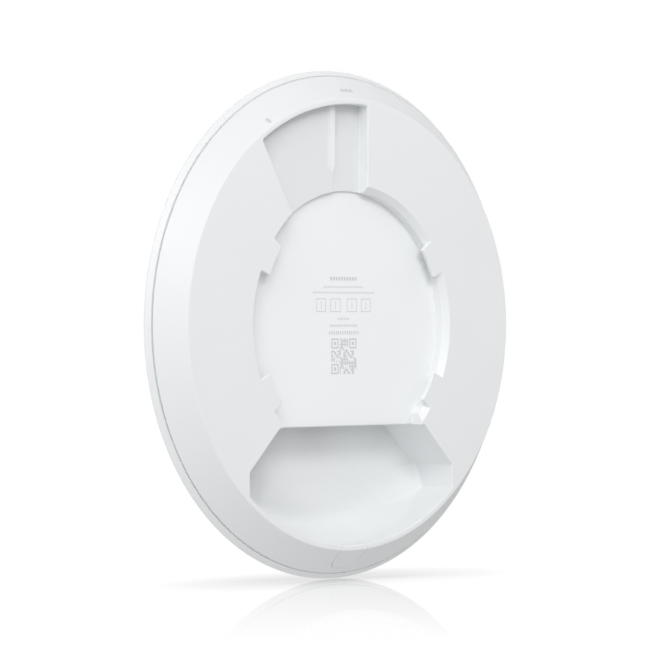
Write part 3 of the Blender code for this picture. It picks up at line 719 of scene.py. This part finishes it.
def pocket_solid(name, grow, start_rings, flat, inset):
    """The pocket as a solid, with tight corners at its walls and a wide sweep at its rim."""
    rings = [[(x, z, depth) for x, z in pocket_outline(grow + more)] for more, depth in start_rings]
    shares = pocket_blend(len(rings[0]))
    steps = 2 * CORNER_STEPS
    for step in range(steps + 1):
        angle = math.pi / 2 * step / steps
        run, rise = 1 - math.cos(angle), 1 - math.sin(angle)
        tight = pocket_outline(grow - WALL_FILLET * run)
        wide = pocket_outline(grow - RIM_FILLET * run)
        ring = []
        for (x0, z0), (x1, z1), share in zip(tight, wide, shares):
            x, z = x0 + (x1 - x0) * share, z0 + (z1 - z0) * share
            fillet = WALL_FILLET + (RIM_FILLET - WALL_FILLET) * share
            ring.append((x, z, pocket_floor(x, z, flat, inset) - fillet * rise))
        rings.append(ring)
    middle_z = (POCKET_TOP - CHANNEL_RADIUS) / 2
    edge = [(x, z) for x, z, _ in rings[-1]]
    for keep in FLOOR_RING_SCALES:
        drawn_in = [(x * keep, middle_z + (z - middle_z) * keep) for x, z in edge]
        rings.append([(x, z, pocket_floor(x, z, flat, inset)) for x, z in drawn_in])
    return lofted(name, rings)


def pocket_block():
    end = POCKET_DEPTH + POCKET_FLOOR
    inset = WALL + DOME_CLEARANCE
    return pocket_solid("pocket_block", POCKET_WALL, [(0, WALL / 2)], end, inset)


def pocket_hollow():
    inset = WALL + DOME_CLEARANCE + POCKET_FLOOR
    return pocket_solid("pocket_hollow", 0, lip_rings(LIP), POCKET_DEPTH, inset)


def recess_hollow():
    """The round recess and its mouth into the pocket, less the four tabs."""
    profile = [
        (0, -OVER, 0),
        (CHAMFER_RADIUS + GAP, -OVER, 0),
        (CHAMFER_RADIUS + GAP, -SKIM, 0),
        (CHAMFER_RADIUS, 0, 0),
        (RECESS_RADIUS, RECESS_CHAMFER, CHAMFER_FOOT_ROUND),
        (RECESS_RADIUS, SEAT_DEPTH + SEAT_DISH, 0),
        (SEAT_FLAT_RADIUS, SEAT_DEPTH, 0),
        (0, SEAT_DEPTH, 0),
    ]
    hollow = turned("recess_hollow", rounded(profile, closed=False), closed=False)
    mouth_end = GAP - math.sqrt(RECESS_RADIUS**2 - RECESS_MOUTH_HALF**2)
    low = (-RECESS_MOUTH_HALF, POCKET_TOP - WALL, -OVER)
    high = (RECESS_MOUTH_HALF, mouth_end, SEAT_DEPTH)
    combine(hollow, [block("recess_mouth", low, high)], "UNION")
    return combine(hollow, [bayonet_tab(angle) for angle in TAB_ANGLES], "DIFFERENCE")


def bayonet_tab(angle):
    """One tab, flush with the flat back, with rounded edges."""

    def outline(grow):
        half = TAB_WIDTH_ANGLE / 2
        inner = TAB_INNER_RADIUS - grow
        outer = CHAMFER_RADIUS + OVER
        spread = math.degrees(grow / RECESS_RADIUS)
        first, last = angle - half - spread, angle + half + spread
        inside = arc(inner, first, last, TAB_ARC_STEPS, TAB_CORNER + grow)
        return rounded(inside + arc(outer, last, first, TAB_ARC_STEPS))

    top = [(-grow, depth) for grow, depth in lip_rings(TAB_LIP)]
    bottom = fillet_rings(TAB_LIP / 2, TAB_THICKNESS, TAB_FILLET_STEPS)
    return extruded(f"tab_{angle}", outline, top + bottom)


def lock_rib():
    """The ramped rib that the bracket's tongue clicks over."""
    face = -CHANNEL_RIGHT
    crest = face - RIB_CREST_WIDTH
    foot = crest - RIB_RAMP_WIDTH
    base = SLOT_DEPTH + WALL / 2
    end = CHANNEL_RADIUS + WALL / 2
    top = [(foot, CHANNEL_DEPTH), (crest, RIB_CREST_DEPTH), (face, RIB_CREST_DEPTH)]
    section = [(foot, base), *top, (face, base)]
    toe_depth = CHANNEL_DEPTH + RIB_TOE_SINK
    toe = [(x, RIB_START - RIB_TAPER, max(depth, toe_depth)) for x, depth in section]
    ends = [[(x, z, depth) for x, depth in section] for z in (RIB_START, end)]
    return lofted("lock_rib", [toe, *ends])


def seat_edge():
    """Cutter that rounds the seat's edge over the pocket."""
    radius = LIP
    profile = [(POCKET_TOP + radius, SEAT_DEPTH - MM), (POCKET_TOP + radius, SEAT_DEPTH)]
    for step in range(1, CORNER_STEPS + 1):
        angle = math.pi / 2 * step / CORNER_STEPS
        z = POCKET_TOP + radius * (1 - math.sin(angle))
        profile.append((z, SEAT_DEPTH + radius * (1 - math.cos(angle))))
    profile += [(POCKET_TOP - MM, SEAT_DEPTH + radius), (POCKET_TOP - MM, SEAT_DEPTH - MM)]
    ends = (-RECESS_MOUTH_HALF, RECESS_MOUTH_HALF)
    return lofted("seat_edge", [[(x, z, depth) for z, depth in profile] for x in ends])


def exit_outline(half, depth):
    corner = EXIT_CORNER
    return rounded([(-half, -OVER, 0), (half, -OVER, 0), (half, depth, corner), (-half, depth, corner)])


def exit_notch():
    depth = EXIT_DEPTH + EXIT_GAP
    return bar("exit_notch", exit_outline(EXIT_HALF, depth), -RIM_RADIUS - OVER, -CHANNEL_RADIUS + WALL)


def rear_outside(name, inset=0.0):
    """The solid inside the rear cover's outer surface, drawn in by inset."""
    profile = [
        (0, inset, 0),
        (BACK_RADIUS - inset / 2, inset, BACK_EDGE_ROUND),
        (bevel_radius(SEAM_DEPTH, BEVEL_WALL * inset / WALL), SEAM_DEPTH, 0),
        (0, SEAM_DEPTH, 0),
    ]
    return turned(name, rounded(profile, closed=False), closed=False)


def exit_frame():
    half = EXIT_HALF + EXIT_FRAME
    frame_block = block("exit_frame", (-half, -RIM_RADIUS, GAP), (half, -CHANNEL_RADIUS, SEAM_DEPTH - GAP))
    return combine(frame_block, [rear_outside("frame_limit", EXIT_FRAME_INSET)], "INTERSECT")


def port_opening():
    """The hole for the network jack, with rounded corners."""
    left, right = PORT_LOW.x - GAP, PORT_HIGH.x + GAP
    start, end = PORT_LOW.y - BACK_Y - GAP, PORT_HIGH.y - BACK_Y + GAP
    corners = ((left, start), (right, start), (right, end), (left, end))
    outline = rounded([(*corner, PORT_CORNER) for corner in corners])
    return bar("port_opening", outline, POCKET_TOP - WALL, POCKET_TOP + 2 * WALL)


def reset_hole():
    radius = (RESET_HIGH.x - RESET_LOW.x) / 2 + 2 * GAP
    centre = (RESET_LOW + RESET_HIGH) / 2
    depth = centre.y - BACK_Y
    outline = [(centre.x + a, depth + b) for a, b in circle(radius, ROUND_STEPS)]
    return bar("reset_hole", outline, POCKET_TOP - WALL, POCKET_TOP + 2 * WALL)


def screw_boss(number):
    """A boss that stands behind the flat back round one screw, and its hole."""
    low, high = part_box(f"board_screw_{number}")
    centre = (low + high) / 2
    bottom = low.y - BACK_Y - GAP

    def ring(radius, depth):
        return [(centre.x + a, centre.z + b, depth) for a, b in circle(radius, ROUND_STEPS)]

    boss = lofted(f"boss_{number}", [ring(BOSS_RADIUS, WALL / 2), ring(BOSS_RADIUS, BOSS_END)])
    hole_ends = [ring(BOSS_HOLE_RADIUS, bottom), ring(BOSS_HOLE_RADIUS, BOSS_END + OVER)]
    hole = lofted(f"boss_hole_{number}", hole_ends)
    return combine(boss, [hole], "DIFFERENCE")


def rear_cover():
    """Back shell, recess, channel and pocket in one moulding."""
    cover = rear_solid()
    channel_block = extruded(
        "channel_block",
        lambda grow: channel_outline(grow, RECESS_RADIUS + WALL / 2),
        [(POCKET_WALL, WALL / 2), (POCKET_WALL, SLOT_DEPTH + WALL)],
    )
    bosses = [screw_boss(number) for number in range(1, BOSS_COUNT + 1)]
    combine(cover, [pocket_block(), channel_block, exit_frame(), *bosses], "UNION")
    channel_rings = lip_rings(LIP) + [(0, CHANNEL_DEPTH)]
    slot_low = (-CHANNEL_RIGHT, SEAT_FLAT_RADIUS, CHANNEL_DEPTH - MM)
    slot_high = (CHANNEL_RIGHT, CHANNEL_RADIUS - 2 * GAP, SLOT_DEPTH)
    hollows = [
        recess_hollow(),
        pocket_hollow(),
        extruded("channel_hollow", channel_outline, channel_rings),
        block("channel_slot", slot_low, slot_high),
        seat_edge(),
        exit_notch(),
        port_opening(),
        reset_hole(),
    ]
    combine(cover, hollows, "DIFFERENCE")
    combine(cover, [lock_rib()], "UNION")
    shade_round(cover)
    settle(cover, SHELL, HOUSING, "shell", "rear_cover")


def cable_exit_cover():
    """The insert that closes the cable exit, flush with the back, the bevel and the pocket's rim."""
    half = EXIT_HALF - EXIT_GAP
    ends = (-RIM_RADIUS - OVER, -CHANNEL_RADIUS + WALL)
    cover = bar("exit_cover_skin", exit_outline(half, EXIT_DEPTH), *ends)
    combine(cover, [rear_outside("outside")], "INTERSECT")
    low = (-half - MM, -RIM_RADIUS, 0)
    high = (half + MM, -CHANNEL_RADIUS - EXIT_SKIN, RIM_DEPTH)
    behind = block("behind", low, high)
    combine(behind, [rear_outside("inside", EXIT_SKIN)], "INTERSECT")
    combine(cover, [behind, pocket_hollow()], "DIFFERENCE")
    shade_round(cover)
    settle(cover, SHELL, EXIT_BODY, "shell", "cable_exit_cover")


# ---- front cover and light ring ----


def front_cover():
    """The dome, with a skirt that locates it inside the rear cover."""
    hole = LENS_OUTER + GAP / 2
    ledge = SEAM_DEPTH + SEAM_GAP
    inside = dome_arc(hole, SKIRT_INNER, WALL)
    skirt = [
        (SKIRT_INNER, SKIRT_DEPTH, RIM_ROUND),
        (SKIRT_OUTER, SKIRT_DEPTH, RIM_ROUND),
        (SKIRT_OUTER, ledge + SEAM_GAP, 0),
        (SEAM_RADIUS - SEAM_GAP, ledge + SEAM_GAP, 0),
        (SEAM_RADIUS + SEAM_GAP / 2, ledge, RIM_ROUND / 2),
    ]
    outside = dome_arc(RIM_RADIUS, hole, count=64)
    outside[0] = (RIM_RADIUS, RIM_DEPTH, RIM_ROUND)
    outside[-1] = (*outside[-1][:2], INNER_EDGE_ROUND)
    cover = turned("front_cover_dome", rounded(inside + skirt + outside))
    half = EXIT_HALF + EXIT_FRAME + 2 * GAP
    low = (-half, -SEAM_RADIUS, SKIRT_DEPTH - WALL)
    high = (half, -SKIRT_INNER + WALL, SEAM_DEPTH + SKIRT_NOTCH)
    combine(cover, [block("skirt_gap", low, high)], "DIFFERENCE")
    shade_round(cover)
    settle(cover, DOME, HOUSING, "shell", "front_cover")


def centre_cap():
    edge = LENS_INNER - GAP / 2
    outside = dome_arc(edge, 0)
    outside[0] = (*outside[0][:2], INNER_EDGE_ROUND)
    profile = rounded(dome_arc(0, edge, WALL) + outside, closed=False)
    cap = shade_round(turned("centre_cap_dome", profile, closed=False))
    settle(cap, DOME, HOUSING, "shell", "centre_cap")


def led_ring_lens():
    """A ring flush with the dome, on a flange that sits under both neighbours."""
    foot = LENS_FLANGE_DEPTH + FLANGE_THICKNESS
    profile = [
        (LENS_INNER - FLANGE_WIDTH, LENS_FLANGE_DEPTH, LENS_EDGE),
        (LENS_OUTER + FLANGE_WIDTH, LENS_FLANGE_DEPTH, LENS_EDGE),
        (LENS_OUTER + FLANGE_WIDTH, foot, LENS_EDGE),
        (LENS_OUTER, foot, 0),
        (LENS_OUTER, dome_depth(LENS_OUTER), 2 * LENS_EDGE),
        (LENS_INNER, dome_depth(LENS_INNER), 2 * LENS_EDGE),
        (LENS_INNER, foot, 0),
        (LENS_INNER - FLANGE_WIDTH, foot, LENS_EDGE),
    ]
    lens = shade_round(turned("light_ring", rounded(profile, steps=LENS_EDGE_STEPS)))
    settle(lens, LENS, HOUSING, "lens", "led_ring_lens")


# ---- printed marks ----

PRINT_HEIGHT = 0.02 * MM
PRINT_SINK = 0.01 * MM
PRINT_RISE = 0.015 * MM

# All below are in millimetres of the plan
DOT_PLACE = (-38.5, 67.1)
DOT_RADIUS = 0.8
DOT_STEPS = 24
TOP_MARK_LEFTS = (-3.4, -1.4, 0.6)
TOP_MARK_WIDTH = 1.6
TOP_MARK_HALF = 0.5
TOP_MARK_Z = 78.8
# Rows of dashes: left, right, middle, height, dash, space
MARK_ROWS = (
    (-6.5, 6.5, 15.5, 1.2, 0.8, 0.5),
    (-9.5, 9.5, 12.7, 0.6, 0.45, 0.5),
    (-14.5, 14.5, 10.8, 0.6, 0.45, 0.5),
    (-2.8, 2.8, 2.0, 0.7, 0.3, 0.4),
    (-6.5, 6.5, -0.3, 0.8, 0.45, 0.5),
    (-7.0, 7.0, -2.7, 1.2, 0.5, 0.55),
)
# Plain frames: left and width, with a short bar in the middle of each
MARK_FRAMES = ((-13.0, 4.4), (-6.4, 4.8), (1.4, 4.8), (8.2, 4.6))
FRAME_LOW, FRAME_HIGH = 4.3, 8.8
FRAME_LINE = 0.22
FRAME_BAR_MARGIN = 0.9
# A block of cells with a square in three of its corners. The last four are counted in cells
CODE_LEFT, CODE_TOP = -6.0, -4.6
CODE_SIDE = 12.0
CODE_CELLS = 21
CODE_SQUARE = 6
CODE_LINE = 0.9
CODE_FILL = 0.92


def on_bevel(x, z, lift):
    """A point of the bevelled edge, given in millimetres across its plan and lifted off it."""
    radius = math.hypot(x, z) * MM
    depth = (radius - BACK_RADIUS) / BEVEL_SLOPE
    slant = math.hypot(1, BEVEL_SLOPE)
    out = 1 + lift / slant / radius
    return at(x * MM * out, z * MM * out, depth - lift * BEVEL_SLOPE / slant)


def bevel_patch(bm, outline):
    """A printed patch with an outline in millimetres of the plan, lying on the bevelled edge."""
    base = [bm.verts.new(on_bevel(x, z, -PRINT_HEIGHT)) for x, z in outline]
    top = [bm.verts.new(on_bevel(x, z, PRINT_HEIGHT)) for x, z in outline]
    skin(bm, base, top)
    bm.faces.new(base)
    bm.faces.new(top)


def bevel_marks(bm):
    """The round alignment dot, and three short dashes at the top."""
    x, z = DOT_PLACE
    bevel_patch(bm, [(x + a, z + b) for a, b in circle(DOT_RADIUS, DOT_STEPS)])
    low, high = TOP_MARK_Z - TOP_MARK_HALF, TOP_MARK_Z + TOP_MARK_HALF
    for left in TOP_MARK_LEFTS:
        right = left + TOP_MARK_WIDTH
        bevel_patch(bm, [(left, low), (right, low), (right, high), (left, high)])


def stamp(bm, left, low, right, high):
    """A printed rectangle on the seat."""
    corners = [(left, low), (right, low), (right, high), (left, high)]
    base = [bm.verts.new(at(x * MM, z * MM, SEAT_DEPTH + PRINT_SINK)) for x, z in corners]
    top = [bm.verts.new(at(x * MM, z * MM, SEAT_DEPTH - PRINT_RISE)) for x, z in corners]
    skin(bm, base, top)
    bm.faces.new(base)
    bm.faces.new(top)


def dashes(bm, left, right, middle, height, dash, space):
    x = left
    while x < right - dash / 2:
        stamp(bm, x, middle - height / 2, min(x + dash, right), middle + height / 2)
        x += dash + space


def box_outline(bm, left, low, right, high, line):
    stamp(bm, left, low, right, low + line)
    stamp(bm, left, high - line, right, high)
    stamp(bm, left, low + line, left + line, high - line)
    stamp(bm, right - line, low + line, right, high - line)


def mark_frames(bm):
    for left, width in MARK_FRAMES:
        middle = left + width / 2
        low, high = FRAME_LOW + FRAME_BAR_MARGIN, FRAME_HIGH - FRAME_BAR_MARGIN
        box_outline(bm, left, FRAME_LOW, left + width, FRAME_HIGH, FRAME_LINE)
        stamp(bm, middle - FRAME_LINE / 2, low, middle + FRAME_LINE / 2, high)


def code_squares(bm, cell):
    """An open square with a filled one inside it, in three corners of the block."""
    square = CODE_SQUARE * cell
    far = CODE_SIDE - square
    for left, top in ((0, 0), (far, 0), (0, far)):
        x, z = CODE_LEFT + left, CODE_TOP - top
        box_outline(bm, x, z - square, x + square, z, CODE_LINE * cell)
        stamp(bm, x + 2 * cell, z - 4 * cell, x + 4 * cell, z - 2 * cell)


def code_cells(bm, cell):
    """An even scatter of cells clear of the squares. It encodes nothing."""
    clear = CODE_SQUARE + 1
    far = CODE_CELLS - clear
    for row in range(CODE_CELLS):
        for column in range(CODE_CELLS):
            by_upper_square = row < clear and (column < clear or column >= far)
            by_lower_square = row >= far and column < clear
            filled = (row * row * 3 + column * 7 + row * column * 5) % 11 < 6
            if filled and not by_upper_square and not by_lower_square:
                x, z = CODE_LEFT + column * cell, CODE_TOP - (row + 1) * cell
                stamp(bm, x, z, x + cell * CODE_FILL, z + cell * CODE_FILL)


def printed_marks():
    """Plain dashes, frames and cells in grey ink, without any lettering."""
    bm = bmesh.new()
    cell = CODE_SIDE / CODE_CELLS
    for row in MARK_ROWS:
        dashes(bm, *row)
    mark_frames(bm)
    code_squares(bm, cell)
    code_cells(bm, cell)
    bevel_marks(bm)
    settle(add_piece("printed_marks", bm), INK, HOUSING, "shell")


# ---- stage ----

CAMERA_LENS = 199.4
CAMERA_DISTANCE = 1.20967
CAMERA_FORWARD = Vector((0.7114, 0.7028, 0.0)).normalized()
CAMERA_RIGHT = Vector((CAMERA_FORWARD.y, -CAMERA_FORWARD.x, 0.0))
CAMERA_SHIFT_RIGHT = -0.00983
CAMERA_SHIFT_UP = -0.000087
CAMERA_NEAR = 0.01


def aim(obj, target):
    obj.rotation_euler = (Vector(target) - obj.location).to_track_quat("-Z", "Y").to_euler()


def camera():
    data = bpy.data.cameras.new("camera")
    data.lens = CAMERA_LENS
    data.clip_start = CAMERA_NEAR
    obj = bpy.data.objects.new("camera", data)
    bpy.context.scene.collection.objects.link(obj)
    back = Vector(at(0, 0, 0))
    obj.location = back - CAMERA_FORWARD * CAMERA_DISTANCE
    aim(obj, back + CAMERA_RIGHT * CAMERA_SHIFT_RIGHT + Vector((0, 0, CAMERA_SHIFT_UP)))
    bpy.context.scene.camera = obj


LIGHTS = (
    # name, degrees left of the camera, elevation, side, watts
    ("key", -25, 35, 0.45, 5.4),
    ("upper_left", 20, 40, 0.9, 7.5),
    ("front", -10, 20, 0.9, 7.5),
    ("left_low", 50, 5, 0.9, 2.2),
    ("right_low", -70, 5, 0.9, 2.3),
    ("right_high", -100, 40, 0.9, 3.9),
    ("right_top", -100, 60, 0.9, 2.0),
    ("dome", 138, 8, 0.9, 11.0),
)
LIGHT_DISTANCE = 1.6


def lights():
    for name, left, elevation, side, watts in LIGHTS:
        data = bpy.data.lights.new(name, "AREA")
        data.size = side
        data.energy = watts
        obj = bpy.data.objects.new(name, data)
        bpy.context.scene.collection.objects.link(obj)
        turn = math.radians(left)
        level = -CAMERA_FORWARD * math.cos(turn) - CAMERA_RIGHT * math.sin(turn)
        up = math.radians(elevation)
        obj.location = (level * math.cos(up) + Vector((0, 0, math.sin(up)))) * LIGHT_DISTANCE
        aim(obj, (0, 0, 0))


def world():
    """White to the camera and in reflections, and dark to diffuse rays."""
    studio = bpy.data.worlds.new("studio")
    bpy.context.scene.world = studio
    studio.use_nodes = True
    tree = studio.node_tree
    background = tree.nodes["Background"]
    background.inputs["Color"].default_value = (1, 1, 1, 1)
    path = tree.nodes.new("ShaderNodeLightPath")
    strength = mapped(tree, path.outputs["Is Diffuse Ray"], (0.0, 1.0), (1.0, 0.0))
    tree.links.new(strength, background.inputs["Strength"])


FLOOR_SIDE = 8.0
FLOOR_BOUNCE = 0.625
REFLECTION = 0.4
REFLECTION_REACH = 0.24
# Painted contact shadow on the floor: how far it reaches, the openness at which it is darkest, and that
# darkest tone
CONTACT_REACH = 0.03
CONTACT_OPENNESS = 0.4
CONTACT_SHADE = 0.65


def mixed(tree, share, first, second):
    """A shader that goes from the first to the second as the share rises."""
    mix = tree.nodes.new("ShaderNodeMixShader")
    tree.links.new(share, mix.inputs["Fac"])
    tree.links.new(first, mix.inputs[1])
    tree.links.new(second, mix.inputs[2])
    return mix.outputs["Shader"]


def floor_glow(tree, to_camera):
    """White to the camera but for a painted contact shadow, and softer to every other ray."""
    contact = tree.nodes.new("ShaderNodeAmbientOcclusion")
    contact.samples = 16
    contact.inputs["Distance"].default_value = CONTACT_REACH
    shade = mapped(tree, contact.outputs["AO"], (CONTACT_OPENNESS, 1.0), (CONTACT_SHADE, 1.0))
    strength = tree.nodes.new("ShaderNodeMapRange")
    strength.inputs["To Min"].default_value = FLOOR_BOUNCE
    tree.links.new(to_camera, strength.inputs["Value"])
    tree.links.new(shade, strength.inputs["To Max"])
    glow = tree.nodes.new("ShaderNodeEmission")
    tree.links.new(strength.outputs["Result"], glow.inputs["Strength"])
    return glow.outputs["Emission"]


def floor_material():
    """A glow with a mirror over it that fades away from the part, both clear from below."""
    material = bpy.data.materials.new("pale_floor")
    material.use_nodes = True
    tree = material.node_tree
    tree.nodes.clear()
    output = tree.nodes.new("ShaderNodeOutputMaterial")
    to_camera = tree.nodes.new("ShaderNodeLightPath").outputs["Is Camera Ray"]
    mirror = tree.nodes.new("ShaderNodeBsdfGlossy")
    mirror.inputs["Roughness"].default_value = 0.0
    mirror.inputs["Color"].default_value = (1, 1, 1, 1)
    distance = vector_math(tree, "LENGTH", object_place(tree)).outputs["Value"]
    fade = mapped(tree, distance, (0.0, REFLECTION_REACH), (REFLECTION, 0.0))
    seen = number_math(tree, "MULTIPLY", fade, to_camera)
    upper = mixed(tree, seen, floor_glow(tree, to_camera), mirror.outputs["BSDF"])
    below = tree.nodes.new("ShaderNodeNewGeometry").outputs["Backfacing"]
    clear = tree.nodes.new("ShaderNodeBsdfTransparent").outputs["BSDF"]
    tree.links.new(mixed(tree, below, upper, clear), output.inputs["Surface"])
    return material


def floor():
    bm = bmesh.new()
    bmesh.ops.create_grid(bm, x_segments=1, y_segments=1, size=FLOOR_SIDE / 2)
    plane = add_piece("floor", bm)
    plane.location.z = CAD_BOX[0][2]
    plane.data.materials.append(floor_material())


dress_cad_nodes()
rear_cover()
cable_exit_cover()
front_cover()
centre_cap()
led_ring_lens()
printed_marks()
camera()
lights()
world()
floor()
bpy.context.scene.view_settings.view_transform = "Standard"
